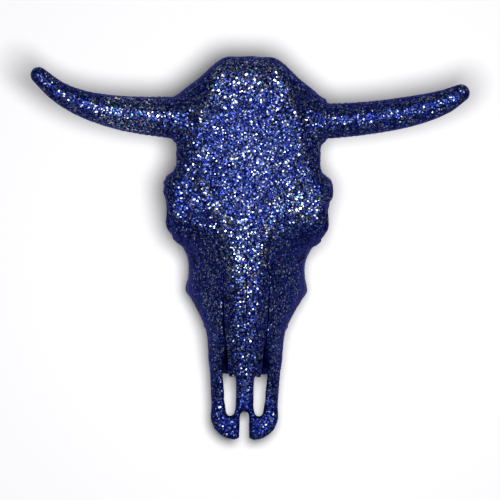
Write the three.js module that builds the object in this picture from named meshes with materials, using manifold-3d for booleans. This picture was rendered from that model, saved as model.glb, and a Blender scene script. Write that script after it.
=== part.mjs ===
// A life-size cow skull without its lower jaw, coated all over with blue glitter.
// It lies on the last cheek teeth and on the two bony pegs beside the neck joint, forehead up.
// Millimetres. +X is the viewer's right in a view from above, +Y runs from nose to poll, +Z is up.
// The bone is sculpted as distance fields that blend into one another, meshed, and parted along its sutures.
import * as THREE from "three";
import { LoftGeometry } from "three/addons/geometries/LoftGeometry.js";
import { mergeVertices } from "three/addons/utils/BufferGeometryUtils.js";
import Module from "manifold-3d";

const wasm = await Module();
wasm.setup();

// A smooth curve through [station along Y, value] pairs, level beyond both ends.
function profile(...stations) {
  const last = stations.length - 1;
  const slope = (i) => {
    const before = stations[Math.max(i - 1, 0)];
    const after = stations[Math.min(i + 1, last)];
    return (after[1] - before[1]) / (after[0] - before[0]);
  };
  return (y) => {
    if (y <= stations[0][0]) return stations[0][1];
    if (y >= stations[last][0]) return stations[last][1];
    const i = stations.findIndex((station) => station[0] > y) - 1;
    const [y0, v0] = stations[i];
    const [y1, v1] = stations[i + 1];
    const span = y1 - y0;
    const t = (y - y0) / span;
    const blend = t * t * (3 - 2 * t);
    const lean = t * (1 - t) * ((1 - t) * slope(i) - t * slope(i + 1)) * span;
    return v0 + (v1 - v0) * blend + lean;
  };
}

// Driving sizes of the whole head: its outline from above, and its heights, at stations along Y.
const HALF_WIDTH = profile(
  [-150, 45], [-118, 46], [-100, 50], [-80, 60], [-62, 70], [-49, 75], [-35, 72.5], [-14, 72], [2, 78],
  [24, 93], [48, 99], [70, 104], [84, 99], [98, 91], [122, 89], [182, 89], [198, 83], [212, 65],
  [228, 48], [236, 38], [241, 26],
);
const ROOF = profile(
  [-155, 126], [-100, 141], [-50, 152], [0, 161], [60, 166], [140, 170], [200, 168], [226, 162], [241, 150],
);
const RIDGE = profile(
  [-150, 14], [-50, 19], [0, 22], [40, 36], [100, 50], [150, 52], [200, 43], [240, 32],
);
const FALL = profile(
  [-150, 1.1], [-50, 1], [-10, 0.8], [14, 0.46], [36, 0.28], [60, 0.2], [110, 0.24], [160, 0.4], [240, 0.6],
);
const UNDERSIDE = profile(
  [-150, 58], [-122, 53], [-100, 42], [-50, 30], [10, 26], [32, 28], [48, 52], [72, 88], [100, 112], [241, 122],
);
const WIDEST_Z = profile([-150, 78], [-50, 76], [0, 80], [50, 88], [80, 96], [110, 120], [241, 130]);
const TUCK = profile([-110, 0.3], [10, 0.25], [45, 0.85]);
const RIDGE_ROUNDING = 14;
const POLL_END = 241;
const FAR = 400;

// Sizes of single bones and openings on the right side. The left side mirrors them.
// A blend is the breadth of the rounding where a bone grows out of the head or an opening sinks into it.
const HEAD_EDGE = 14;
const ORBIT = { at: [104, 50, 116], radii: [58, 28.5, 28.5], blend: 10 };
const ORBIT_RIM = { at: [89, 49.5, 116], radius: 31.5, thickness: 9.5, turn: 0.16, blend: 14 };
const BAR_BEHIND_EYE = { from: [88, 82, 138], to: [86, 83, 86], radii: [9, 9], blend: 14 };
const CHEEK_ARCH = { from: [87, 40, 80], to: [79, 126, 72], radii: [11, 9], blend: 14 };
const BRAINCASE = { at: [0, 132, 98], radii: [60, 82, 58], blend: 16 };
const MIDDLE = { from: [0, 110, 88], to: [0, 10, 92], radii: [40, 40], blend: 16 };
const NECK_PLATE = { at: [0, 196, 98], radii: [80, 22, 60], blend: 14 };
const EAR_ROOT = { from: [52, 168, 78], to: [78, 166, 76], radii: [22, 17], blend: 12 };
const JAW_SOCKET = { from: [48, 138, 76], to: [75, 126, 72], radii: [16, 12], blend: 10 };
const SKULL_BASE = { from: [0, 204, 60], to: [0, 96, 62], radii: [20, 19], blend: 14 };
const EAR_CAPSULE = { at: [38, 146, 40], radii: [13, 15, 19], blend: 6 };
const CONDYLE = { at: [27, 212, 54], radii: [21, 18, 22], blend: 6 };
const NECK_PEG_ROOT = { from: [60, 190, 74], to: [61, 187, 34], radii: [22, 14], blend: 8 };
const NECK_PEG = { from: [61, 187, 34], to: [57, 182, 2], radii: [14, 9], blend: 8 };
const HORN_CORE = { from: [55, 164, 140], to: [104, 164, 143], radii: [33, 23], blend: 12 };
const BEHIND_EYE = { from: [68, 88, 30], to: [64, 90, 112], radii: [17, 14], blend: 8 };
const TEMPLE_HOLLOW = { from: [92, 112, 112], to: [90, 184, 92], radii: [20, 18], blend: 10 };
const NECK_HOLE = { from: [0, 250, 74], to: [0, 178, 76], radii: [18, 16], blend: 6 };
const THROAT_PLATE = { at: [27, 56, 52], half: [3.5, 20, 24], rounding: 3, blend: 6 };
const THROAT = { from: [0, 110, 40], to: [0, 16, 58], radii: [17, 17], blend: 8 };
const PALATE_VAULT = { from: [0, -112, 20], to: [0, 60, 4], radii: [34, 35], blend: 6 };
const NOSE_CAVITY = {
  halfWidth: 24, front: -150, floor: [70, 64], floorEnd: -40, back: -32, rounding: 10, blend: 8,
};
const FACE_FRONT = { atY: -165, atZ: 55, lean: 0.75 };

// Front of the upper jaw, seen from above: a blunt plate, a strip up each side and a bar along the middle.
const SNOUT = {
  plateAt: [7, -212], plateRadii: [34.5, 27.5], plateEnd: -200, plateRounding: 4, notchHalf: 6, notchEnd: -203,
  notchRounding: 6, notchBlend: 2, sides: [12, 22], leanFrom: 40, rounding: 6, blend: 5,
};
const SNOUT_STRIP = { from: [32, -206], to: [40.5, -104], radii: [9, 6.5], blend: 6 };
const SNOUT_BAR = { from: [0, -199], to: [0, -120], radii: [11.5, 11.5], blend: 4 };
const SNOUT_SLOT = { from: [18, -203.5], to: [18.4, -157], radii: [5.8, 6.6], blend: 3 };
const SNOUT_HEIGHT = profile([-239, 62], [-205, 65], [-170, 71], [-140, 82], [-104, 104]);
const SNOUT_LEAN = profile([-205, 0.1], [-170, 0.4], [-140, 0.9], [-104, 1.2]);
const SNOUT_BAR_Z = 64;
const SNOUT_THICKNESS = profile([-239, 11], [-212, 12], [-180, 11], [-150, 14], [-104, 16]);

// The nose bones: half their width together, and the slits that part them from the cheeks.
const NOSE_HALF = profile(
  [-160, 19.5], [-145, 21], [-125, 22.5], [-104, 25.5], [-60, 28], [-20, 27], [0, 16], [12, 3],
);
const NOSE_SLIT = profile([-150, 13], [-130, 11.5], [-118, 7], [-104, 1.8], [-68, 1.6], [-56, 0.3], [12, 0.3]);
const NOSE_BED = profile([-150, 42], [-112, 38], [-100, 22], [-70, 8], [-56, 7.3], [12, 7.3]);
const NOSE = { from: -158, to: 12, rows: 13, columns: 4, thickness: 7, arch: 1.2, headroom: 30 };
const NOSE_NOTCH = [[8.5, -162], [15.5, -162], [12, -150]];

// Horns as stations outwards: [distance from the middle, Y, Z, radius].
const HORN_BASE = 96;
const HORN_SIDES = 14;
const HORN_ROWS = 12;
const HORN_TIP_STEPS = [0.3, 0.6, 0.85];
const HORN_LEFT = [
  [82, 164, 142, 27], [100, 164.5, 143, 25.5], [150, 167.5, 149, 22], [200, 177, 160, 17], [235, 192, 170, 13],
  [261, 213, 181, 10],
];
const HORN_RIGHT = [
  [82, 163, 142, 22.5], [100, 163, 143, 21.7], [150, 167.5, 149, 20.2], [200, 176, 160, 18.6],
  [240, 187.5, 171, 15], [261.5, 199, 179, 11],
];

// Cheek teeth of one side from front to back: where each starts and ends along Y, and its width.
const TEETH = [[-101, -85, 13], [-85, -67, 17], [-67, -50, 19], [-50, -25, 22], [-25, 3, 24], [3, 32, 22]];
const TOOTH_ROW = profile([-101, 45], [-60, 54], [-38, 57], [-10, 57], [32, 54]);
const TOOTH = {
  sides: 12, squareness: 3.2, root: 14, crown: 6, groove: 0.2, spacing: 0.8, scales: [0.86, 0.97, 1, 0.96],
};
const FIRST_MOLAR = 3;
const BITE_START = 3;
const BITE_RISE = 0.16;

// Sutures that part the bones, each left open by a hairline. Outlines are (Y, Z) from the side unless noted.
const SUTURE_GAP = 0.3;
const NECK_SEAM = [[FAR, 108], [205, 104], [178, 84], [166, 58], [166, -FAR], [FAR, -FAR]];
const CHEEK_SEAM = {
  inner: 56,
  outline: [[52, 116], [6, 104], [-36, 78], [-8, 58], [40, 58], [100, 48], [106, 92], [92, 108]],
};
const FACE_SEAM = { atZ: 150, lean: -0.42, outline: [[0, 12], [30, -12], [64, 12], [110, 46], [FAR, 46]] };
const SNOUT_SEAM = [[-105, 120], [-145, 60], [-201, -24], [-FAR, -24], [-FAR, FAR], [82, FAR]];
const EVERYWHERE = [[-FAR, -FAR], [FAR, -FAR], [FAR, FAR], [-FAR, FAR]];
const UNDERGROUND = [[-FAR, -FAR], [FAR, -FAR], [FAR, 0], [-FAR, 0]];
const HORN_SEAM = [[120, 95], [220, 95], [220, FAR], [120, FAR]];

// Meshing: stretches of the head along Y, each with its box and cell, and how vertices are evened out.
const STRETCHES = {
  backHead: { from: -60, to: FAR, low: [-147, -92, -30], high: [147, 275, 200], cell: 10 },
  face: { from: -175, to: 125, low: [-136, -195, -24], high: [136, 148, 192], cell: 9.3 },
  muzzle: { from: -FAR, to: -80, low: [-70, -255, 30], high: [70, -65, 170], cell: 5 },
};
const EVENING = { passes: 6, share: 0.6 };
const SLIDE = { passes: 3, step: 0.5, limit: 0.45 };
const GLITTER_COAT = { color: 0x323967, roughness: 0.45, metalness: 0.4 };

// Fields: negative inside. All take a point with x already mirrored to the right side.
function smoothUnion(a, b, k) {
  const near = Math.max(k - Math.abs(a - b), 0);
  return Math.min(a, b) - (near * near) / (4 * k);
}
const smoothCut = (a, b, k) => -smoothUnion(-a, b, k);
const smoothCommon = (a, b, k) => -smoothUnion(-a, -b, k);

function ellipsoid(x, y, z, { at, radii }) {
  const p = [x - at[0], y - at[1], z - at[2]];
  const unit = Math.hypot(p[0] / radii[0], p[1] / radii[1], p[2] / radii[2]);
  const steep = Math.hypot(p[0] / radii[0] ** 2, p[1] / radii[1] ** 2, p[2] / radii[2] ** 2);
  return steep < 1e-9 ? -Math.min(...radii) : (unit * (unit - 1)) / steep;
}

function taperedBar(x, y, z, { from, to, radii }) {
  const d = [to[0] - from[0], to[1] - from[1], to[2] - from[2]];
  const p = [x - from[0], y - from[1], z - from[2]];
  const along = (p[0] * d[0] + p[1] * d[1] + p[2] * d[2]) / (d[0] ** 2 + d[1] ** 2 + d[2] ** 2);
  const t = THREE.MathUtils.clamp(along, 0, 1);
  const away = Math.hypot(p[0] - t * d[0], p[1] - t * d[1], p[2] - t * d[2]);
  return away - THREE.MathUtils.lerp(radii[0], radii[1], t);
}

function roundedBox(x, y, z, { at, half, rounding }) {
  const q = [Math.abs(x - at[0]) - half[0], Math.abs(y - at[1]) - half[1], Math.abs(z - at[2]) - half[2]];
  const outside = Math.hypot(Math.max(q[0], 0), Math.max(q[1], 0), Math.max(q[2], 0));
  return outside + Math.min(Math.max(...q), 0) - rounding;
}

// A ring round the eye socket, in an upright plane that faces sideways and is turned a little to the front.
function ring(x, y, z, { at, radius, thickness, turn }) {
  const out = Math.hypot(y - at[1], z - at[2]) - radius;
  return Math.hypot(out, x - at[0] - turn * (y - at[1])) - thickness;
}

function roofHeight(x, y) {
  const out = Math.abs(x) - RIDGE(y);
  return ROOF(y) - (FALL(y) * (Math.hypot(out, RIDGE_ROUNDING) + out)) / 2;
}

// The head's main mass: forehead, temples and face between the roof, the flanks and the underside.
function headBlock(x, y, z) {
  const roof = (z - roofHeight(x, y)) / Math.hypot(1, FALL(y));
  const low = Math.max(WIDEST_Z(y) - z, 0);
  const flank = (x - HALF_WIDTH(y) + TUCK(y) * low) / Math.hypot(1, TUCK(y));
  const under = UNDERSIDE(y) - z;
  const front = (FACE_FRONT.atY + FACE_FRONT.lean * (z - FACE_FRONT.atZ) - y) / Math.hypot(1, FACE_FRONT.lean);
  const ends = Math.max(y - POLL_END, front);
  const shell = smoothCommon(smoothCommon(roof, flank, HEAD_EDGE), under, HEAD_EDGE);
  return smoothCommon(shell, ends, HEAD_EDGE);
}

function headBone(x, y, z) {
  let f = headBlock(x, y, z);
  const grow = (shape, part) => (f = smoothUnion(f, shape(x, y, z, part), part.blend));
  const carve = (shape, part) => (f = smoothCut(f, shape(x, y, z, part), part.blend));
  grow(ellipsoid, BRAINCASE);
  grow(taperedBar, MIDDLE);
  grow(ellipsoid, NECK_PLATE);
  grow(taperedBar, SKULL_BASE);
  grow(taperedBar, EAR_ROOT);
  grow(taperedBar, HORN_CORE);
  carve(taperedBar, TEMPLE_HOLLOW);
  carve(taperedBar, BEHIND_EYE);
  grow(taperedBar, JAW_SOCKET);
  grow(ring, ORBIT_RIM);
  grow(taperedBar, CHEEK_ARCH);
  grow(taperedBar, BAR_BEHIND_EYE);
  carve(ellipsoid, ORBIT);
  carve(taperedBar, THROAT);
  grow(roundedBox, THROAT_PLATE);
  grow(ellipsoid, EAR_CAPSULE);
  grow(ellipsoid, CONDYLE);
  grow(taperedBar, NECK_PEG_ROOT);
  grow(taperedBar, NECK_PEG);
  carve(taperedBar, NECK_HOLE);
  carve(taperedBar, PALATE_VAULT);
  return f;
}

// The front of the upper jaw: its outline from above, thickened about a sheet that climbs along the sides.
function snout(x, y, z) {
  const [px, py] = [x - SNOUT.plateAt[0], y - SNOUT.plateAt[1]];
  const plateUnit = Math.hypot(px / SNOUT.plateRadii[0], py / SNOUT.plateRadii[1]);
  const plate = smoothCommon((plateUnit - 1) * SNOUT.plateRadii[1], y - SNOUT.plateEnd, SNOUT.plateRounding);
  let outline = smoothUnion(plate, strip2(x, y, SNOUT_STRIP), SNOUT_STRIP.blend);
  outline = smoothUnion(outline, strip2(x, y, SNOUT_BAR), SNOUT_BAR.blend);
  outline = smoothCut(outline, strip2(x, y, SNOUT_SLOT), SNOUT_SLOT.blend);
  const notch = smoothCommon(x - SNOUT.notchHalf, y - SNOUT.notchEnd, SNOUT.notchRounding);
  outline = smoothCut(outline, notch, SNOUT.notchBlend);
  const side = THREE.MathUtils.smoothstep(x, ...SNOUT.sides);
  const sideZ = SNOUT_HEIGHT(y) + SNOUT_LEAN(y) * (SNOUT.leanFrom - x);
  const middle = THREE.MathUtils.lerp(SNOUT_BAR_Z, sideZ, side);
  const layer = (Math.abs(z - middle) - SNOUT_THICKNESS(y) / 2) / Math.hypot(1, SNOUT_LEAN(y) * side);
  return smoothCommon(outline, layer, SNOUT.rounding);
}

// A tapered strip with round ends in the view from above.
function strip2(x, y, { from, to, radii }) {
  return taperedBar(x, y, 0, { from: [...from, 0], to: [...to, 0], radii });
}

// The airway under the nose bones, open at the front and along the top.
function noseCavity(x, y, z) {
  const { halfWidth, front, floor, floorEnd, back, rounding } = NOSE_CAVITY;
  const share = THREE.MathUtils.clamp((y - front) / (floorEnd - front), 0, 1);
  const above = THREE.MathUtils.lerp(...floor, share) - z;
  return smoothCommon(smoothCommon(x - halfWidth, above, rounding), y - back, rounding);
}

function bone(x, y, z) {
  const head = smoothCut(headBone(x, y, z), noseCavity(x, y, z), NOSE_CAVITY.blend);
  return smoothUnion(head, snout(x, y, z), SNOUT.blend);
}

// Meshes the zero level of a field in a box: a vertex for each sheet in a cell, a quad for each crossed edge.
function surfaceNet(field, low, high, cell) {
  const count = low.map((v, a) => Math.ceil((high[a] - v) / cell));
  const points = count.map((n) => n + 1);
  const stride = [1, points[0], points[0] * points[1]];
  const value = new Float32Array(points[0] * points[1] * points[2]);
  const mirrored = (p) => field(Math.abs(p[0]), p[1], p[2]);
  const placeOf = (i, j, k) => [low[0] + i * cell, low[1] + j * cell, low[2] + k * cell];
  for (let k = 0; k < points[2]; k++)
    for (let j = 0; j < points[1]; j++)
      for (let i = 0; i < points[0]; i++) {
        value[i + j * stride[1] + k * stride[2]] = mirrored(placeOf(i, j, k));
      }

  const sheetOf = new Int32Array(value.length * 12).fill(-1);
  const vertices = [];
  const corners = [...Array(8).keys()];
  const cornerStep = corners.map((c) => (c & 1) + ((c >> 1) & 1) * stride[1] + (c >> 2) * stride[2]);
  const edgeCorners = (edge) => {
    const a = edge >> 2;
    const start = ((edge & 1) << (a + 1) % 3) | (((edge >> 1) & 1) << (a + 2) % 3);
    return [start, start | (1 << a)];
  };
  const edges = [...Array(12).keys()].map(edgeCorners);
  for (let k = 0; k < count[2]; k++)
    for (let j = 0; j < count[1]; j++)
      for (let i = 0; i < count[0]; i++) {
        const home = i + j * stride[1] + k * stride[2];
        const inside = cornerStep.map((step) => value[home + step] < 0);
        const crossed = edges.map(([c, d]) => inside[c] !== inside[d]);
        if (!crossed.includes(true)) continue;
        const group = [...Array(12).keys()];
        const root = (e) => (group[e] === e ? e : root(group[e]));
        const join = (e, f) => (group[root(e)] = root(f));
        for (let a = 0; a < 3; a++)
          for (let side = 0; side < 2; side++) {
            const [b, c] = [(a + 1) % 3, (a + 2) % 3];
            const loop = [b * 4 + 2 * side, c * 4 + side + 2, b * 4 + 1 + 2 * side, c * 4 + side];
            const corner = [0, 1 << b, (1 << b) | (1 << c), 1 << c].map((q) => q | (side << a));
            const cut = loop.filter((e) => crossed[e]);
            if (cut.length === 2) join(cut[0], cut[1]);
            if (cut.length === 4) corner.forEach((q, n) => inside[q] && join(loop[(n + 3) % 4], loop[n]));
          }
        for (let e = 0; e < 12; e++) {
          if (!crossed[e] || root(e) !== e) continue;
          const members = edges.map((_, m) => m).filter((m) => crossed[m] && root(m) === e);
          const middle = new THREE.Vector3();
          for (const m of members) {
            const [c, d] = edges[m];
            const [near, far] = [value[home + cornerStep[c]], value[home + cornerStep[d]]];
            const t = near / (near - far);
            const at = [0, 1, 2].map((a) => ((c >> a) & 1) + (((d >> a) & 1) - ((c >> a) & 1)) * t);
            middle.add(new THREE.Vector3(...at).divideScalar(members.length));
          }
          const place = placeOf(i, j, k).map((v, a) => v + middle.getComponent(a) * cell);
          for (const m of members) sheetOf[home * 12 + m] = vertices.length;
          vertices.push(place);
        }
      }
  const triangles = quads();
  return { vertices: evened(mirrored, vertices, triangles, cell), triangles };

  function quads() {
    const triangles = [];
    for (let k = 1; k < count[2]; k++)
      for (let j = 1; j < count[1]; j++)
        for (let i = 1; i < count[0]; i++)
          for (let a = 0; a < 3; a++) {
            const home = i + j * stride[1] + k * stride[2];
            const [near, far] = [value[home] < 0, value[home + stride[a]] < 0];
            if (near === far) continue;
            const [b, c] = [stride[(a + 1) % 3], stride[(a + 2) % 3]];
            const round = [[1, 1], [0, 1], [0, 0], [1, 0]];
            const q = round.map(([u, v]) => sheetOf[(home - u * b - v * c) * 12 + a * 4 + u + 2 * v]);
            if (!near) q.reverse();
            const span = (m, n) => Math.hypot(...vertices[q[m]].map((v, d) => v - vertices[q[n]][d]));
            if (span(0, 2) < span(1, 3)) triangles.push(q[0], q[1], q[2], q[0], q[2], q[3]);
            else triangles.push(q[1], q[2], q[3], q[1], q[3], q[0]);
          }
    return triangles;
  }
}

// Spreads the vertices evenly: each moves towards its neighbours' middle and back on to the bone.
function evened(field, vertices, triangles, cell) {
  const around = vertices.map(() => new Set());
  triangles.forEach((v, n) => around[v].add(triangles[n % 3 === 2 ? n - 2 : n + 1]));
  let places = vertices.map((p) => ontoSurface(field, p, cell));
  for (let pass = 0; pass < EVENING.passes; pass++) {
    const total = (n, a) => [...around[n]].reduce((sum, m) => sum + places[m][a], 0);
    const middle = (n) => [0, 1, 2].map((a) => total(n, a) / around[n].size);
    const moved = places.map((p, n) => middle(n).map((m, a) => p[a] + (m - p[a]) * EVENING.share));
    places = moved.map((p) => ontoSurface(field, p, cell));
  }
  return places;
}

// Slides a point along the field's slope on to its zero level, by less than half a cell.
function ontoSurface(field, start, cell) {
  const { passes, step, limit } = SLIDE;
  let p = start;
  for (let pass = 0; pass < passes; pass++) {
    const slope = [0, 1, 2].map((a) => {
      const shifted = (s) => field(p.map((v, d) => (d === a ? v + s : v)));
      return (shifted(step) - shifted(-step)) / (2 * step);
    });
    const steep = slope.reduce((sum, s) => sum + s * s, 1e-6);
    const move = field(p) / steep;
    p = p.map((v, a) => v - move * slope[a]);
  }
  const drift = Math.hypot(...p.map((v, a) => v - start[a]));
  const kept = Math.min(1, (limit * cell) / Math.max(drift, 1e-6));
  return start.map((v, a) => v + (p[a] - v) * kept);
}

// Solids from nets and from ordinary geometry.
function solidFrom(places, triangles) {
  const vertProperties = new Float32Array(places);
  const triVerts = new Uint32Array(triangles);
  return new wasm.Manifold(new wasm.Mesh({ numProp: 3, vertProperties, triVerts }));
}

function solidOf(geometry) {
  const bare = new THREE.BufferGeometry();
  bare.setAttribute("position", geometry.attributes.position);
  bare.setIndex(geometry.index);
  const merged = mergeVertices(bare, 1e-4);
  return solidFrom(merged.attributes.position.array, merged.index.array);
}

const skin = (sections) => solidOf(new LoftGeometry(sections, { capStart: true, capEnd: true }));

// A block with an outline seen from the side (Y, Z), between two x values, grown all round by a seam's width.
function sideBlock(outline, [low, high], grow = 0) {
  const shape = new THREE.Shape(outline.map(([y, z]) => new THREE.Vector2(y, z)));
  const bevelEnabled = grow > 0;
  const bevel = { bevelEnabled, bevelThickness: grow, bevelSize: 0, bevelOffset: grow, bevelSegments: 1 };
  const geometry = new THREE.ExtrudeGeometry(shape, { depth: high - low, ...bevel }).translate(0, 0, low);
  const axes = [[0, 1, 0], [0, 0, 1], [1, 0, 0]].map((axis) => new THREE.Vector3(...axis));
  return solidOf(geometry.applyMatrix4(new THREE.Matrix4().makeBasis(...axes)));
}

// A block with an outline seen from above (X, Y), between two heights.
function planBlock(outline, [low, high]) {
  const shape = new THREE.Shape(outline.map(([x, y]) => new THREE.Vector2(x, y)));
  return new THREE.ExtrudeGeometry(shape, { depth: high - low, bevelEnabled: false }).translate(0, 0, low);
}

// Everything in front of the seam that runs across the face and leans back towards the teeth.
function faceBlock(grow = 0) {
  const right = FACE_SEAM.outline.map(([x, y]) => [x, y + grow]);
  const left = right.slice(1).map(([x, y]) => [-x, y]);
  const outline = [...left.reverse(), ...right, [FAR, -FAR], [-FAR, -FAR]];
  const geometry = planBlock(outline, [-FAR - FACE_SEAM.atZ, FAR - FACE_SEAM.atZ]);
  geometry.applyMatrix4(new THREE.Matrix4().makeShear(0, 0, 0, 0, 0, FACE_SEAM.lean));
  return solidOf(geometry.translate(0, 0, FACE_SEAM.atZ));
}

const steps = (count) => [...Array(count + 1).keys()].map((n) => n / count);
const largest = (solid) => solid.decompose().sort((a, b) => b.volume() - a.volume())[0];
const sideRange = (side, near, far = FAR) => (side > 0 ? [near, far] : [-far, -near]);

// A slab that follows the roof of the nose, from one line along it to another.
function noseSlab(innerEdge, outerEdge, low, high) {
  const sections = steps(NOSE.rows).map((share) => {
    const y = THREE.MathUtils.lerp(NOSE.from, NOSE.to, share);
    const across = steps(NOSE.columns).map((u) => THREE.MathUtils.lerp(innerEdge(y), outerEdge(y), u));
    const edge = (rise) => across.map((x) => new THREE.Vector3(x, y, roofHeight(x, y) + rise(y)));
    return [...edge(high), ...edge(low).reverse()];
  });
  return skin(sections);
}

function noseBone(side) {
  const inner = (y) => side * Math.min(SUTURE_GAP / 2, NOSE_HALF(y) / 2);
  const outer = (y) => side * NOSE_HALF(y);
  const edges = side > 0 ? [inner, outer] : [outer, inner];
  const notch = solidOf(planBlock(NOSE_NOTCH.map(([x, y]) => [side * x, y]), [0, FAR]));
  return noseSlab(...edges, () => -NOSE.thickness, () => NOSE.arch).subtract(notch);
}

// A horn: round sections square to a smooth line, with a blunt round tip, cut flat at its base.
function horn(stations, side) {
  const line = new THREE.CatmullRomCurve3(stations.map(([x, y, z]) => new THREE.Vector3(side * x, y, z)));
  const radius = profile(...stations.map(([x, , , r]) => [x, r]));
  const tip = stations.at(-1)[3];
  const round = (centre, along, r) => {
    const u = new THREE.Vector3(0, 0, 1).cross(along).normalize();
    const v = along.clone().cross(u);
    return steps(HORN_SIDES).slice(1).map((share) => {
      const turn = 2 * Math.PI * share;
      return centre.clone().addScaledVector(u, r * Math.cos(turn)).addScaledVector(v, r * Math.sin(turn));
    });
  };
  const sections = steps(HORN_ROWS).map((t) => {
    const centre = line.getPoint(t);
    return round(centre, line.getTangent(t), radius(Math.abs(centre.x)));
  });
  for (const bend of HORN_TIP_STEPS.map((share) => (share * Math.PI) / 2)) {
    const along = line.getTangent(1);
    const centre = line.getPoint(1).addScaledVector(along, tip * Math.sin(bend));
    sections.push(round(centre, along, tip * Math.cos(bend)));
  }
  return skin(sections).subtract(sideBlock(EVERYWHERE, sideRange(side, 0, HORN_BASE + SUTURE_GAP)));
}

// A cheek tooth: a squarish column with a groove down each side if it is a molar, its root sunk into the jaw.
function tooth([from, to, width], place, side) {
  const middle = (from + to) / 2;
  const halves = [width / 2, (to - from - TOOTH.spacing) / 2];
  const groove = place >= FIRST_MOLAR ? TOOTH.groove : 0;
  const bite = (y) => BITE_RISE * Math.max(BITE_START - y, 0);
  const gum = UNDERSIDE(middle);
  const levels = [gum + TOOTH.root, gum, bite(middle) + TOOTH.crown, 0];
  const sections = levels.map((height, level) =>
    steps(TOOTH.sides).slice(1).map((share) => {
      const turn = 2 * Math.PI * share;
      const [c, s] = [Math.cos(turn), Math.sin(turn)];
      const power = TOOTH.squareness;
      const square = (Math.abs(c) ** power + Math.abs(s) ** power) ** (-1 / power);
      const pinch = 1 - groove * Math.max(Math.abs(c) - Math.abs(s), 0) ** 2;
      const scale = TOOTH.scales[level];
      const x = side * (TOOTH_ROW(middle) + c * square * pinch * halves[0] * scale);
      const y = middle + s * square * halves[1] * scale;
      return new THREE.Vector3(x, y, level === levels.length - 1 ? bite(y) : height);
    }),
  );
  if (side > 0) sections.forEach((section) => section.reverse());
  return skin(sections);
}

function meshOf(name, solid) {
  const { vertProperties, triVerts } = solid.getMesh();
  const geometry = new THREE.BufferGeometry();
  geometry.setAttribute("position", new THREE.BufferAttribute(vertProperties, 3));
  geometry.setIndex(new THREE.BufferAttribute(triVerts, 1));
  const mesh = new THREE.Mesh(geometry, new THREE.MeshStandardMaterial(GLITTER_COAT));
  mesh.name = name;
  return mesh;
}

// The bone is meshed in three stretches, finest at the snout, and then parted along its sutures.
function stretch({ from, to, low, high, cell }) {
  const part = (x, y, z) => Math.max(bone(x, y, z), from - y, y - to);
  const net = surfaceNet(part, low, high, cell);
  return solidFrom(net.vertices.flat(), net.triangles);
}
const backHead = stretch(STRETCHES.backHead);
const face = stretch(STRETCHES.face);
const muzzle = stretch(STRETCHES.muzzle);

const ground = sideBlock(UNDERGROUND, [-FAR, FAR]);
const bedEdge = (y) => NOSE_HALF(y) + NOSE_SLIT(y);
const noseBed = noseSlab((y) => -bedEdge(y), bedEdge, (y) => -NOSE_BED(y), () => NOSE.headroom);
const neck = (grow) => sideBlock(NECK_SEAM, [-FAR, FAR], grow);
const snoutTip = (grow) => sideBlock(SNOUT_SEAM, [-FAR, FAR], grow);
const cheek = (side, grow) => sideBlock(CHEEK_SEAM.outline, sideRange(side, CHEEK_SEAM.inner), grow);
const half = (side) => sideBlock(EVERYWHERE, sideRange(side, SUTURE_GAP / 2));

let cranium = backHead.subtract(faceBlock(SUTURE_GAP)).subtract(neck(SUTURE_GAP)).subtract(noseBed);
for (const side of [-1, 1]) {
  cranium = cranium.subtract(cheek(side, SUTURE_GAP));
  cranium = cranium.subtract(sideBlock(HORN_SEAM, sideRange(side, HORN_BASE)));
}
const solids = { cranium, occipital: backHead.intersect(neck(0)).subtract(ground) };
for (const [name, side] of [["left", -1], ["right", 1]]) {
  let jaw = face.intersect(faceBlock()).intersect(half(side));
  jaw = largest(jaw.subtract(snoutTip(SUTURE_GAP)).subtract(cheek(side, SUTURE_GAP)).subtract(noseBed));
  TEETH.forEach((sizes, place) => (jaw = jaw.add(tooth(sizes, place, side))));
  solids[`maxilla_${name}`] = jaw;
  solids[`zygomatic_${name}`] = face.intersect(cheek(side, 0));
  solids[`premaxilla_${name}`] = muzzle.intersect(snoutTip(0)).intersect(half(side));
  solids[`nasal_${name}`] = noseBone(side);
  solids[`horn_${name}`] = horn(side < 0 ? HORN_LEFT : HORN_RIGHT, side);
}

// The group stands so that the skull rests on z = 0 with the middle of its box over the origin.
const skull = new THREE.Group();
for (const [name, solid] of Object.entries(solids)) skull.add(meshOf(name, largest(solid)));
const extent = new THREE.Box3().setFromObject(skull);
const middle = extent.getCenter(new THREE.Vector3());
skull.position.set(-middle.x, -middle.y, -extent.min.z);
export default skull;
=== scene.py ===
import math

import bmesh
import bpy
import numpy as np
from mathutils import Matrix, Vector
from mathutils.bvhtree import BVHTree


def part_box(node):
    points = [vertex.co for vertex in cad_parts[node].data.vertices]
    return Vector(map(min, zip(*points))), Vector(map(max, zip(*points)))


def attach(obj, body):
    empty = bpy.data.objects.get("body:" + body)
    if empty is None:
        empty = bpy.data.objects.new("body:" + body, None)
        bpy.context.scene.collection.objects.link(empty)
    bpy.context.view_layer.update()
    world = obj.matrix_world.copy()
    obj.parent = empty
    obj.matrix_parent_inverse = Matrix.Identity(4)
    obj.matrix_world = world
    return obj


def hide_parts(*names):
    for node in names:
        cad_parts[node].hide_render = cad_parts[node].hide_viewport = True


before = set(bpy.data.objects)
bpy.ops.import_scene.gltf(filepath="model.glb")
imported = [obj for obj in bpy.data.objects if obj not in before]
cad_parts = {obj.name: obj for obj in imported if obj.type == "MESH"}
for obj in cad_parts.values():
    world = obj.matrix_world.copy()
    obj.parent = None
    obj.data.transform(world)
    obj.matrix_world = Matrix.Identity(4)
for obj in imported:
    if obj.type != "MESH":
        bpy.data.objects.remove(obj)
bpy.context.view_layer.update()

bl_info = {
    "name": "Glitter Cow Skull",
    "version": (1, 0, 0),
    "blender": (4, 5, 0),
    "location": "View3D > Sidebar > Skull",
    "description": "Dresses a life-size cow skull in midnight-blue glitter",
    "category": "Object",
}

MM = 0.001
# Beyond the skull on every side, in millimetres.
FAR = 400

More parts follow.
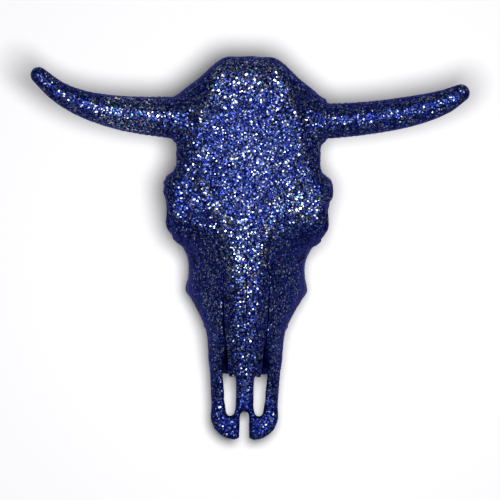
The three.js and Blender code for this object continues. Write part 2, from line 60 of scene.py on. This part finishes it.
# The head's middle line and the zero of its lengthwise stations, in the frame. The nose bones end behind it.
NOSE_BONES_END = 12
HEAD_MIDDLE = Vector((
    (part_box("maxilla_left")[1].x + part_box("maxilla_right")[0].x) / 2,
    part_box("nasal_left")[1].y - NOSE_BONES_END * MM,
    0,
))

# Sutures, in millimetres from the head's middle: side views as (Y, Z), the face's as (X, Y) from above.
NECK_SEAM = ((FAR, 108), (205, 104), (178, 84), (166, 58), (166, -FAR), (FAR, -FAR))
CHEEK_SEAM = ((52, 116), (6, 104), (-36, 78), (-8, 58), (40, 58), (100, 48), (106, 92), (92, 108))
CHEEK_INNER = 56
SNOUT_SEAM = ((-105, 120), (-145, 60), (-201, -24), (-FAR, -24), (-FAR, FAR), (82, FAR))
FACE_SEAM = ((0, 12), (30, -12), (64, 12), (110, 46), (FAR, 46))
FACE_SEAM_HEIGHT = 150
FACE_SEAM_LEAN = -0.42

ALL_ROUND = ((-FAR, -FAR), (FAR, -FAR), (FAR, FAR), (-FAR, FAR))
HORN_BASE = 96
HORN_SEAM = ((125, -FAR), (FAR, -FAR), (FAR, FAR), (125, FAR))

BONES = (
    "cranium", "occipital", "maxilla_left", "maxilla_right", "zygomatic_left", "zygomatic_right",
    "premaxilla_left", "premaxilla_right", "horn_left", "horn_right",
)

# Relief seen from above, mirrored: lines as ends, width and height; spots as place, radius and height.
ROOF_LINES = (
    ((34, 226), (60, 168), 7, 2.8),
    ((60, 168), (64, 118), 9, 1.6),
    ((56, 84), (12, 0), 8, 3.0),
    ((45, 112), (36, 30), 5.5, -1.3),
    ((0, 130), (0, 20), 10, -1.2),
    ((26, 60), (9, 8), 9, -1.6),
)
ROOF_SPOTS = (
    ((70, 60), 17, 3.2),
    ((44, 76), 4.5, -1.8),
    ((68, 4), 19, -1.6),
    ((0, 208), 24, -1.4),
    ((78, 20), 6, 1.2),
)
# Relief seen from the side, as (Y, Z).
SIDE_LINES = (
    ((-52, 64), (34, 88), 6, 2.0),
    ((-20, 118), (10, 112), 8, -1.5),
)
SIDE_SPOTS = (
    ((-92, 74), 4.6, -7.0),
    ((-49, 62), 12, 2.2),
    ((-70, 95), 22, -2.0),
)
# Relief on the back of the head, as (X, Z).
BACK_SPOTS = (
    ((29, 140), 13, 3.5),
    ((0, 122), 15, 4.0),
    ((30, 106), 16, -2.2),
    ((66, 110), 16, -1.6),
)

# Painted highlights and painted shade from above, as patches with more or fewer pale flakes: place, radius
# and amount.
PAINTED_LIGHT_SPOTS = (
    ((-5, 112), 44, 0.12),
    ((-5, -8), 24, 0.65),
    ((68, 60), 18, 0.7),
    ((-70, 58), 20, -0.1),
    ((70, 10), 20, -0.3),
    ((-72, 8), 20, -0.2),
    ((0, -90), 20, -0.1),
    ((0, 226), 34, 0.35),
    ((-150, 166), 34, 0.6),
    ((0, -215), 36, -0.45),
)
# Painted highlights along crests, the same way: ends, width and amount.
PAINTED_LIGHT_LINES = (
    ((56, 84), (12, 0), 7, 0.35),
    ((36, 224), (60, 165), 6, 0.3),
    ((0, -20), (0, -140), 9, 0.1),
)

# Openness to the sky is painted shade: hollows and undersides that the sky can't reach get fewer pale
# flakes.
# Ways to the open sky that are tried from each place, and how far.
SKY_WAYS = tuple(
    Vector((math.cos(turn) * lean, math.sin(turn) * lean, 1)).normalized()
    for lean, turn in ((0, 0), (0.7, 0.4), (0.7, 1.97), (0.7, 3.54), (0.7, 5.11))
)
SKY_START = 1.6 * MM
SKY_REACH = 0.25
# A way counts only if it leaves the face by this much; faces with no such way get a fixed openness.
SKY_LEAVING = 0.05
UNDERSIDE_OPENNESS = 0.4

# How far a face must look up, out or back before its relief starts, and the span over which it grows.
UP_FACE = (0.15, 0.35)
OUT_FACE = (0.25, 0.35)
BACK_FACE = (0.3, 0.35)
# Where roof, side and back relief start: height, distance from the middle and station along the head.
ROOF_FROM = 95
SIDE_FROM = 45
BACK_FROM = 150

# The bone's skin: how far it swells to close the sutures, and the passes that ease it in small batches.
SEAM_SWELL = 0.35 * MM
EASING_BATCH = 4
EASING_IN = 0.5
EASING_OUT = -0.53
NOSE_VOXEL = 1.1 * MM
NOSE_SWELL = 0.05 * MM
NOSE_EASING = 24
MERGE_WITHIN = 0.002 * MM
LUMP_SIZE = 4 * MM
SHARP_EDGE = math.radians(50)

# Growth rings of the horns, in millimetres along the horn: spacing, wander, start and fade.
RING_SPACING = 7.5
RING_WANDER = 0.6
RING_WANDER_LENGTH = 19
RING_START = (3, 12)
RING_FADE = 45
HORN_END_FACE = (0.6, 0.3)

# Painted highlight and shade by facing: the share of pale flakes on faces that look up and on steep ones, by
# how far they look up.
TOP_FACE = (-0.1, 1.0)
TOP_PAINTED_LIGHT = 0.68
STEEP_PAINTED_LIGHT = 0.5
STEEP_SPAN = 0.25

# Glitter: the share at which each tint starts, the roughness of the darkest and palest flakes, and the
# span from hidden to open sky, over which hidden places lose their pale flakes as painted shade.
FLAKE_STARTS = (0.0, 0.20, 0.48, 0.70, 0.89, 0.955)
FLAKE_ROUGHNESS = (0.52, 0.26)
OPEN_RANGE = (0.15, 0.75)

# The stage, in metres.
FLOOR_HALF = 4.0
KEY_SIZE = 0.6
KEY_AT = Vector((0.09, 0.02, 2.1))
BROW_HEIGHT = 0.12
CAMERA_SHIFT = Vector((3.75 * MM, 0.8 * MM, 0))
CLIP_END = 50


def hex_colour(code):
    """A colour given as sRGB hex, as the linear values that shaders take."""
    parts = [int(code[i:i + 2], 16) / 255 for i in (1, 3, 5)]
    return tuple(c / 12.92 if c <= 0.04045 else ((c + 0.055) / 1.055) ** 2.4 for c in parts)


class SkullRelief(bpy.types.PropertyGroup):
    """Sizes of the modelled bone surface."""

    voxel: bpy.props.FloatProperty(
        name="Grain of the bone mesh", description="Edge length of the remeshed bone surface",
        default=1.5 * MM, min=0.8 * MM, max=6 * MM, precision=4, unit="LENGTH", subtype="DISTANCE")
    easing: bpy.props.IntProperty(
        name="Easing passes", description="Passes that ease the bone's facets without shrinking it",
        default=36, min=0, max=100)
    height: bpy.props.FloatProperty(
        name="Relief height", description="Share of the modelled crests, grooves and hollows",
        default=1.0, min=0.0, max=2.0, subtype="FACTOR")
    lumps: bpy.props.FloatProperty(
        name="Coat lumps", description="Height of the uneven coat on the bone",
        default=0.5 * MM, min=0.0, max=3 * MM, precision=4, unit="LENGTH", subtype="DISTANCE")
    rings: bpy.props.FloatProperty(
        name="Horn rings", description="Height of the growth rings near the foot of each horn",
        default=0.5 * MM, min=0.0, max=4 * MM, precision=4, unit="LENGTH", subtype="DISTANCE")


class GlitterCoat(bpy.types.PropertyGroup):
    """Sizes and colours of the glitter."""

    flake: bpy.props.FloatProperty(
        name="Flake size", description="Width of one patch of flakes",
        default=1.6 * MM, min=0.3 * MM, max=10 * MM, precision=4, unit="LENGTH", subtype="DISTANCE")
    tilt: bpy.props.FloatProperty(
        name="Flake tilt", description="How far the flakes lean from the surface they lie on",
        default=0.34, min=0.0, max=2.0, subtype="FACTOR")
    # Strength of the painted highlights and shade carried by the pale flakes.
    painted_light_strength: bpy.props.FloatProperty(
        name="Sprinkling", description="How many more pale flakes lie on top than on the sides",
        default=0.45, min=0.0, max=1.0, subtype="FACTOR")
    # The darkest tint is the glue and dark flakes, and also the painted shade in hollows.
    glue: bpy.props.FloatVectorProperty(
        name="Dark flakes", description="Flakes and glue that lie in shade", size=3, subtype="COLOR",
        default=hex_colour("#050630"), min=0.0, max=1.0)
    navy: bpy.props.FloatVectorProperty(
        name="Navy flakes", description="The most common flakes", size=3, subtype="COLOR",
        default=hex_colour("#0f1b6e"), min=0.0, max=1.0)
    royal: bpy.props.FloatVectorProperty(
        name="Royal blue flakes", description="Brighter blue flakes", size=3, subtype="COLOR",
        default=hex_colour("#2c3f78"), min=0.0, max=1.0)
    lavender: bpy.props.FloatVectorProperty(
        name="Lavender flakes", description="Pale violet flakes", size=3, subtype="COLOR",
        default=hex_colour("#768096"), min=0.0, max=1.0)
    silver: bpy.props.FloatVectorProperty(
        name="Silver flakes", description="The palest flakes", size=3, subtype="COLOR",
        default=hex_colour("#dad8d0"), min=0.0, max=1.0)
    cyan: bpy.props.FloatVectorProperty(
        name="Cyan flakes", description="A few blue-green flakes", size=3, subtype="COLOR",
        default=hex_colour("#4b93b6"), min=0.0, max=1.0)


class Studio(bpy.types.PropertyGroup):
    """The camera and lights above the skull."""

    camera_height: bpy.props.FloatProperty(
        name="Camera height", description="Height of the camera above the floor",
        default=6.0, min=1.0, max=20.0, unit="LENGTH", subtype="DISTANCE")
    field: bpy.props.FloatProperty(
        name="Field width", description="Width that the picture covers at the height of the brow",
        default=0.625, min=0.1, max=3.0, unit="LENGTH", subtype="DISTANCE")
    roll: bpy.props.FloatProperty(
        name="Camera roll", description="Lean of the skull in the picture",
        default=math.radians(0.9), subtype="ANGLE")
    key_power: bpy.props.FloatProperty(
        name="Key light", description="Power of the soft light beside the camera", default=48.0, min=0.0,
        subtype="POWER", unit="POWER")
    fill: bpy.props.FloatProperty(
        name="Room light", description="Strength of the even light from all round",
        default=0.08, min=0.0, max=5.0)


def add_node(tree, kind, links=(), **settings):
    """Adds a shader node, sets its properties and sockets, and links sockets from other nodes."""
    node = tree.nodes.new(kind)
    for key, value in settings.items():
        if hasattr(node, key):
            setattr(node, key, value)
        else:
            node.inputs[key.replace("_", " ")].default_value = value
    for socket, source in links:
        tree.links.new(source, node.inputs[socket])
    return node


def glitter_coat(name, coat):
    """Polyester glitter bedded in clear glue: flat metallised flakes, each with its own tilt and tint.

    The real flakes are about half a millimetre; they are drawn about three times as wide, so that one shows
    in a picture of the whole skull. Each mirrors the light when its tilt faces it, which gives the sparkle.
    """
    material = bpy.data.materials.new(name)
    material.use_nodes = True
    tree = material.node_tree
    tree.nodes.clear()
    place = add_node(tree, "ShaderNodeTexCoord").outputs["Object"]
    flakes = add_node(
        tree, "ShaderNodeTexVoronoi", [("Vector", place)], voronoi_dimensions="3D", feature="F1",
        Scale=1 / coat.flake, Randomness=1.0)
    lean = add_node(tree, "ShaderNodeVectorMath", [(0, flakes.outputs["Color"])], operation="SUBTRACT")
    lean.inputs[1].default_value = (0.5, 0.5, 0.5)
    lean = add_node(
        tree, "ShaderNodeVectorMath", [(0, lean.outputs[0])], operation="SCALE", Scale=2 * coat.tilt)
    facing = add_node(tree, "ShaderNodeNewGeometry").outputs["Normal"]
    flat = add_node(tree, "ShaderNodeVectorMath", [(0, facing), (1, lean.outputs[0])], operation="ADD")
    flat = add_node(tree, "ShaderNodeVectorMath", [(0, flat.outputs[0])], operation="NORMALIZE")

    mixed = add_node(
        tree, "ShaderNodeTexWhiteNoise", [("Vector", flakes.outputs["Color"])], noise_dimensions="3D")
    # Painted highlights and painted shade: the share of pale flakes follows the marked facing and patches,
    # and falls towards the darkest tint in places hidden from the sky.
    painted_light_fac = add_node(tree, "ShaderNodeAttribute", attribute_name="painted_light_mask").outputs["Fac"]
    painted_light_share = add_node(
        tree, "ShaderNodeMapRange", [("Value", painted_light_fac)], To_Min=1 - coat.painted_light_strength).outputs["Result"]
    hollow = add_node(tree, "ShaderNodeAttribute", attribute_name="openness").outputs["Fac"]
    reach = add_node(
        tree, "ShaderNodeMapRange", [("Value", hollow)], From_Min=OPEN_RANGE[0], From_Max=OPEN_RANGE[1])
    reach = reach.outputs["Result"]
    painted_light_share = add_node(tree, "ShaderNodeMath", [(0, painted_light_share), (1, reach)], operation="MULTIPLY").outputs[0]
    share = add_node(tree, "ShaderNodeMath", [(0, mixed.outputs["Value"]), (1, painted_light_share)], operation="MULTIPLY")
    tint = add_node(tree, "ShaderNodeValToRGB", [("Fac", share.outputs[0])])
    ramp = tint.color_ramp
    ramp.interpolation = "CONSTANT"
    tints = (coat.glue, coat.navy, coat.royal, coat.lavender, coat.silver, coat.cyan)
    while len(ramp.elements) < len(tints):
        ramp.elements.new(1.0)
    for element, position, colour in zip(ramp.elements, FLAKE_STARTS, tints):
        element.position = position
        element.color = (*colour, 1.0)
    gloss = add_node(
        tree, "ShaderNodeMapRange", [("Value", share.outputs[0])], To_Min=FLAKE_ROUGHNESS[0],
        To_Max=FLAKE_ROUGHNESS[1])
    shader = add_node(
        tree, "ShaderNodeBsdfPrincipled",
        [
            ("Base Color", tint.outputs["Color"]), ("Roughness", gloss.outputs["Result"]),
            ("Normal", flat.outputs[0]), ("Coat Normal", flat.outputs[0]),
        ],
        Metallic=0.9, IOR=1.45, Specular_Tint=(*hex_colour("#5a62b8"), 1.0), Coat_Weight=0.07,
        Coat_Roughness=0.25)
    add_node(tree, "ShaderNodeOutputMaterial", [("Surface", shader.outputs[0])])
    return material


def matt_paper(name, colour):
    """Seamless studio paper: matt and pale, with no pattern of its own."""
    material = bpy.data.materials.new(name)
    material.use_nodes = True
    shader = material.node_tree.nodes["Principled BSDF"]
    shader.inputs["Base Color"].default_value = (*hex_colour(colour), 1.0)
    shader.inputs["Roughness"].default_value = 0.9
    shader.inputs["Specular IOR Level"].default_value = 0.1
    return material


def add_object(name, mesh):
    piece = bpy.data.objects.new(name, mesh)
    bpy.context.scene.collection.objects.link(piece)
    return piece


def node_copy(name, nodes):
    """One mesh object that holds copies of CAD nodes, with their loose triangles merged."""
    bm = bmesh.new()
    for node in nodes:
        bm.from_mesh(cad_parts[node].data)
    bmesh.ops.remove_doubles(bm, verts=bm.verts, dist=MERGE_WITHIN)
    mesh = bpy.data.meshes.new(name)
    bm.to_mesh(mesh)
    bm.free()
    mesh.materials.clear()
    return add_object(name, mesh)


def bake_modifiers(piece):
    """Turns a piece's modifiers into its mesh."""
    bpy.context.view_layer.update()
    graph = bpy.context.evaluated_depsgraph_get()
    mesh = bpy.data.meshes.new_from_object(piece.evaluated_get(graph))
    old = piece.data
    piece.modifiers.clear()
    piece.data = mesh
    bpy.data.meshes.remove(old)


def modifier(piece, kind, **settings):
    added = piece.modifiers.new(kind.title(), kind)
    for key, value in settings.items():
        setattr(added, key, value)
    return added


def even_skin(piece, voxel, swell, passes):
    """Closes hairline seams, remeshes evenly and eases facets without shrinking the piece."""
    modifier(piece, "DISPLACE", strength=swell, mid_level=0.0)
    modifier(piece, "REMESH", mode="VOXEL", voxel_size=voxel)
    for _ in range(passes // EASING_BATCH):
        modifier(piece, "SMOOTH", factor=EASING_IN, iterations=EASING_BATCH)
        modifier(piece, "SMOOTH", factor=EASING_OUT, iterations=EASING_BATCH)
    bake_modifiers(piece)


def rise(value, start, span):
    """Grows from 0 to 1 over a span."""
    return np.clip((value - start) / span, 0, 1)


def bump(distance, width, height):
    return height * np.exp(-((distance / width) ** 2))


def to_line(a, b, first, second):
    """Distance of points (a, b) from the stretch between two ends."""
    (a0, b0), (a1, b1) = first, second
    run = (a1 - a0, b1 - b0)
    share = ((a - a0) * run[0] + (b - b0) * run[1]) / (run[0] ** 2 + run[1] ** 2)
    share = np.clip(share, 0, 1)
    return np.hypot(a - a0 - share * run[0], b - b0 - share * run[1])


def surface(mesh):
    """The places and normals of a mesh's vertices."""
    spot = np.empty(len(mesh.vertices) * 3)
    normal = np.empty(len(mesh.vertices) * 3)
    mesh.vertices.foreach_get("co", spot)
    mesh.vertices.foreach_get("normal", normal)
    return spot.reshape(-1, 3), normal.reshape(-1, 3)


def raise_relief(piece, share):
    """Moves the bone surface along its normals by the crests, grooves and hollows of a cow's skull."""
    mesh = piece.data
    spot, normal = surface(mesh)
    x = np.abs(spot[:, 0] - HEAD_MIDDLE.x) / MM
    y = (spot[:, 1] - HEAD_MIDDLE.y) / MM
    z = spot[:, 2] / MM
    up = rise(normal[:, 2], *UP_FACE) * (z > ROOF_FROM)
    out = rise(np.abs(normal[:, 0]), *OUT_FACE) * (x > SIDE_FROM) * (normal[:, 0] * spot[:, 0] > 0)
    back = rise(normal[:, 1], *BACK_FACE) * (y > BACK_FROM)
    lift = np.zeros(len(spot))
    for first, second, width, height in ROOF_LINES:
        lift += up * bump(to_line(x, y, first, second), width, height)
    for (px, py), radius, height in ROOF_SPOTS:
        lift += up * bump(np.hypot(x - px, y - py), radius, height)
    for first, second, width, height in SIDE_LINES:
        lift += out * bump(to_line(y, z, first, second), width, height)
    for (py, pz), radius, height in SIDE_SPOTS:
        lift += out * bump(np.hypot(y - py, z - pz), radius, height)
    for (px, pz), radius, height in BACK_SPOTS:
        lift += back * bump(np.hypot(x - px, z - pz), radius, height)
    spot += normal * (lift * share * MM)[:, None]
    mesh.vertices.foreach_set("co", spot.ravel())
    mesh.update()


def coat_lumps(piece, height, size):
    """Uneven glue under the flakes, as real height."""
    grain = bpy.data.textures.new("glue_lumps", "CLOUDS")
    grain.noise_scale = size
    grain.noise_depth = 2
    modifier(piece, "DISPLACE", texture=grain, texture_coords="LOCAL", strength=height, mid_level=0.5)
    bake_modifiers(piece)


def settle(piece):
    """Keeps the coat under the feet level with the floor."""
    mesh = piece.data
    spot, _ = surface(mesh)
    spot[:, 2] = np.maximum(spot[:, 2], 0)
    mesh.vertices.foreach_set("co", spot.ravel())
    mesh.update()


def block(name, outline, sweep):
    """A cutter: an outline of places in millimetres from the head's middle, swept along a straight way."""
    bm = bmesh.new()
    face = bm.faces.new([bm.verts.new(HEAD_MIDDLE + Vector(place) * MM) for place in outline])
    grown = bmesh.ops.extrude_face_region(bm, geom=[face])["geom"]
    tips = [vert for vert in grown if isinstance(vert, bmesh.types.BMVert)]
    bmesh.ops.translate(bm, verts=tips, vec=Vector(sweep) * MM)
    bmesh.ops.recalc_face_normals(bm, faces=bm.faces)
    mesh = bpy.data.meshes.new(name)
    bm.to_mesh(mesh)
    bm.free()
    return add_object(name, mesh)


def side_block(name, outline, low, high):
    """A cutter with an outline seen from the side, between two x values."""
    return block(name, [(low, y, z) for y, z in outline], (high - low, 0, 0))


def face_block(name):
    """A cutter for all in front of the seam across the face, which leans with height."""
    outline = [*((-x, y) for x, y in reversed(FACE_SEAM[1:])), *FACE_SEAM, (FAR, -FAR), (-FAR, -FAR)]
    lean = FACE_SEAM_LEAN * (-FAR - FACE_SEAM_HEIGHT)
    return block(name, [(x, y + lean, -FAR) for x, y in outline], (0, FACE_SEAM_LEAN * 2 * FAR, 2 * FAR))


def keep_largest(piece):
    """Drops loose scraps that a cut leaves."""
    bm = bmesh.new()
    bm.from_mesh(piece.data)
    left = set(bm.verts)
    islands = []
    while left:
        queue = [left.pop()]
        island = list(queue)
        while queue:
            vert = queue.pop()
            for edge in vert.link_edges:
                other = edge.other_vert(vert)
                if other in left:
                    left.remove(other)
                    island.append(other)
                    queue.append(other)
        islands.append(island)
    scraps = [vert for island in sorted(islands, key=len)[:-1] for vert in island]
    if scraps:
        bmesh.ops.delete(bm, geom=scraps, context="VERTS")
        bm.to_mesh(piece.data)
    bm.free()


def part_bones(whole):
    """Parts one closed skin into closed bones and horns along the sutures."""
    sides = {"left": -1, "right": 1}
    neck = side_block("neck_cut", NECK_SEAM, -FAR, FAR)
    snout = side_block("snout_cut", SNOUT_SEAM, -FAR, FAR)
    face = face_block("face_cut")
    blocks = [neck, snout, face]
    cranium = [("DIFFERENCE", face), ("DIFFERENCE", neck)]
    cuts = {"cranium": cranium, "occipital": [("INTERSECT", neck)]}
    for side, sign in sides.items():
        half = side_block(f"half_{side}", ALL_ROUND, 0, sign * FAR)
        cheek = side_block(f"cheek_cut_{side}", CHEEK_SEAM, sign * CHEEK_INNER, sign * FAR)
        horn = side_block(f"horn_cut_{side}", HORN_SEAM, sign * HORN_BASE, sign * FAR)
        blocks += [half, cheek, horn]
        cranium += [("DIFFERENCE", cheek), ("DIFFERENCE", horn)]
        cuts[f"maxilla_{side}"] = [
            ("INTERSECT", face), ("INTERSECT", half), ("DIFFERENCE", snout), ("DIFFERENCE", cheek),
        ]
        cuts[f"zygomatic_{side}"] = [("INTERSECT", cheek)]
        cuts[f"premaxilla_{side}"] = [("INTERSECT", snout), ("INTERSECT", half)]
        cuts[f"horn_{side}"] = [("INTERSECT", horn)]
    pieces = {}
    for node, steps in cuts.items():
        piece = add_object(f"{node}_coated", whole.data.copy())
        for operation, cutter in steps:
            modifier(piece, "BOOLEAN", operation=operation, object=cutter, solver="MANIFOLD")
        bake_modifiers(piece)
        if not len(piece.data.polygons):
            raise RuntimeError(f"parting the skull left nothing of {node}")
        keep_largest(piece)
        pieces[node] = piece
    for cutter in blocks:
        mesh = cutter.data
        bpy.data.objects.remove(cutter)
        bpy.data.meshes.remove(mesh)
    return pieces


def mark_painted_light(piece, sky):
    """Marks painted highlights and painted shade by facing and by the listed patches, and how open each
    place is to the sky, which paints shade in hollows.
    """
    spot, normal = surface(piece.data)
    x, y, _ = ((spot - np.array(HEAD_MIDDLE)) / MM).T
    # Painted highlight and shade by facing, then by the listed patches and crests.
    painted_light_amount = rise(normal[:, 2], *TOP_FACE)
    painted_light_amount = painted_light_amount * painted_light_amount * (3 - 2 * painted_light_amount) * TOP_PAINTED_LIGHT
    painted_light_amount += STEEP_PAINTED_LIGHT * np.clip(1 - normal[:, 2] / STEEP_SPAN, 0, 1)
    for (px, py), radius, amount in PAINTED_LIGHT_SPOTS:
        painted_light_amount += bump(np.hypot(x - px, y - py), radius, amount) * (normal[:, 2] > 0)
    for first, second, width, amount in PAINTED_LIGHT_LINES:
        painted_light_amount += bump(to_line(np.abs(x), y, first, second), width, amount) * (normal[:, 2] > 0)
    # Painted shade in hollows: the share of tried ways to the sky that are free.
    start = (spot + normal * SKY_START).tolist()
    tried = np.zeros(len(spot))
    free = np.zeros(len(spot))
    for way in SKY_WAYS:
        leaving = np.flatnonzero(normal @ np.array(way) > SKY_LEAVING)
        tried[leaving] += 1
        free[leaving] += [sky.ray_cast(start[i], way, SKY_REACH)[0] is None for i in leaving.tolist()]
    free = np.where(tried > 0, free / np.maximum(tried, 1), UNDERSIDE_OPENNESS)
    for name, values in (("painted_light_mask", painted_light_amount), ("openness", free)):
        layer = piece.data.attributes.new(name, "FLOAT", "POINT")
        layer.data.foreach_set("value", np.clip(values, 0, 1).astype(np.float32))


def open_sky():
    """What may hide a place on the skull from above: all the CAD solids as one tree of triangles."""
    places, triangles = [], []
    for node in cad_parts.values():
        first = len(places)
        places += [vert.co.copy() for vert in node.data.vertices]
        triangles += [[first + i for i in face.vertices] for face in node.data.polygons]
    return BVHTree.FromPolygons(places, triangles)


def finish_piece(piece, node, material, sky):
    """Marks the piece's painted light and openness, gives it its material, smooth shading and body, and
    hides the CAD node that it stands for.
    """
    mark_painted_light(piece, sky)
    piece.data.materials.clear()
    piece.data.materials.append(material)
    piece.data.polygons.foreach_set("use_smooth", [True] * len(piece.data.polygons))
    piece.data.set_sharp_from_angle(angle=SHARP_EDGE)
    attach(piece, "root")
    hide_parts(node)


class SKULL_OT_bones(bpy.types.Operator):
    """Models the skull's bones as one skin, raises their relief and parts them along the sutures"""

    bl_idname = "skull.bones"
    bl_label = "Bones"

    def execute(self, context):
        relief = context.scene.skull_relief
        coat = context.scene.skull_coat
        whole = node_copy("whole_skull", BONES)
        even_skin(whole, relief.voxel, SEAM_SWELL, relief.easing)
        raise_relief(whole, relief.height)
        coat_lumps(whole, relief.lumps, LUMP_SIZE)
        settle(whole)
        material = glitter_coat("glitter_on_bone", coat)
        sky = open_sky()
        for node, piece in part_bones(whole).items():
            if not node.startswith("horn"):
                finish_piece(piece, node, material, sky)
        mesh = whole.data
        bpy.data.objects.remove(whole)
        bpy.data.meshes.remove(mesh)
        return {"FINISHED"}


class SKULL_OT_nose_bones(bpy.types.Operator):
    """Models the two long bones of the nose with their forked tips"""

    bl_idname = "skull.nose_bones"
    bl_label = "Nose Bones"

    def execute(self, context):
        relief = context.scene.skull_relief
        material = bpy.data.materials["glitter_on_bone"]
        sky = open_sky()
        for node in ("nasal_left", "nasal_right"):
            piece = node_copy(f"{node}_coated", [node])
            even_skin(piece, NOSE_VOXEL, NOSE_SWELL, NOSE_EASING)
            coat_lumps(piece, relief.lumps, LUMP_SIZE)
            finish_piece(piece, node, material, sky)
        return {"FINISHED"}


class SKULL_OT_horns(bpy.types.Operator):
    """Models the horns with growth rings near the foot"""

    bl_idname = "skull.horns"
    bl_label = "Horns"

    def execute(self, context):
        relief = context.scene.skull_relief
        material = glitter_coat("glitter_on_horn", context.scene.skull_coat)
        sky = open_sky()
        for node in ("horn_left", "horn_right"):
            piece = bpy.data.objects[f"{node}_coated"]
            self.ring(piece, HORN_BASE, relief.rings)
            finish_piece(piece, node, material, sky)
        return {"FINISHED"}

    def ring(self, piece, foot, height):
        """Raises growth rings that fade out along the horn."""
        mesh = piece.data
        spot, normal = surface(mesh)
        along = np.abs(spot[:, 0] - HEAD_MIDDLE.x) / MM - foot
        wave = np.sin(along / RING_SPACING * 2 * np.pi + RING_WANDER * np.sin(along / RING_WANDER_LENGTH))
        fade = np.exp(-along / RING_FADE) * rise(along, *RING_START)
        side = 1 - rise(np.abs(normal[:, 0]), *HORN_END_FACE)
        spot += normal * (wave * fade * side * height)[:, None]
        mesh.vertices.foreach_set("co", spot.ravel())
        mesh.update()


class SKULL_OT_stage(bpy.types.Operator):
    """Sets the floor, the soft light and the camera that looks straight down on the forehead"""

    bl_idname = "skull.stage"
    bl_label = "Stage"

    def execute(self, context):
        scene = context.scene
        studio = scene.skull_studio
        bm = bmesh.new()
        bmesh.ops.create_grid(bm, x_segments=1, y_segments=1, size=FLOOR_HALF)
        mesh = bpy.data.meshes.new("paper_floor")
        bm.to_mesh(mesh)
        bm.free()
        floor = add_object("paper_floor", mesh)
        floor.data.materials.append(matt_paper("white_paper", "#f4f4f6"))

        key = bpy.data.lights.new("key_light", "AREA")
        key.energy = studio.key_power
        key.shape = "DISK"
        key.size = KEY_SIZE
        lamp = bpy.data.objects.new("key_light", key)
        lamp.location = KEY_AT
        lamp.rotation_euler = (Vector((0, 0, BROW_HEIGHT)) - KEY_AT).to_track_quat("-Z", "Y").to_euler()
        scene.collection.objects.link(lamp)

        world = bpy.data.worlds.new("studio_room")
        world.use_nodes = True
        room = world.node_tree.nodes["Background"]
        room.inputs["Color"].default_value = (1.0, 1.0, 1.0, 1.0)
        room.inputs["Strength"].default_value = studio.fill
        scene.world = world
        scene.view_settings.view_transform = "Standard"

        lens = bpy.data.cameras.new("photo_camera")
        camera = bpy.data.objects.new("photo_camera", lens)
        lens.lens = lens.sensor_width * (studio.camera_height - BROW_HEIGHT) / studio.field
        lens.clip_end = CLIP_END
        camera.location = HEAD_MIDDLE + CAMERA_SHIFT + Vector((0, 0, studio.camera_height))
        camera.rotation_euler = (0, 0, studio.roll)
        scene.collection.objects.link(camera)
        scene.camera = camera
        return {"FINISHED"}


class SKULL_PT_panel(bpy.types.Panel):
    """Lists the skull's pieces and their settings"""

    bl_label = "Glitter Cow Skull"
    bl_idname = "SKULL_PT_panel"
    bl_space_type = "VIEW_3D"
    bl_region_type = "UI"
    bl_category = "Skull"

    def draw(self, context):
        for settings in (context.scene.skull_relief, context.scene.skull_coat, context.scene.skull_studio):
            box = self.layout.box()
            for name in settings.bl_rna.properties.keys():
                if name not in {"rna_type", "name"}:
                    box.prop(settings, name)
        for operator in OPERATORS:
            self.layout.operator(operator.bl_idname)


OPERATORS = (SKULL_OT_bones, SKULL_OT_nose_bones, SKULL_OT_horns, SKULL_OT_stage)
GROUPS = {"skull_relief": SkullRelief, "skull_coat": GlitterCoat, "skull_studio": Studio}


def register():
    for group in (*GROUPS.values(), *OPERATORS, SKULL_PT_panel):
        bpy.utils.register_class(group)
    for name, group in GROUPS.items():
        setattr(bpy.types.Scene, name, bpy.props.PointerProperty(type=group))


def unregister():
    for name in GROUPS:
        delattr(bpy.types.Scene, name)
    for group in reversed((*GROUPS.values(), *OPERATORS, SKULL_PT_panel)):
        bpy.utils.unregister_class(group)


def main():
    register()
    bpy.ops.skull.bones()
    bpy.ops.skull.nose_bones()
    bpy.ops.skull.horns()
    bpy.ops.skull.stage()


if __name__ == "__main__":
    main()
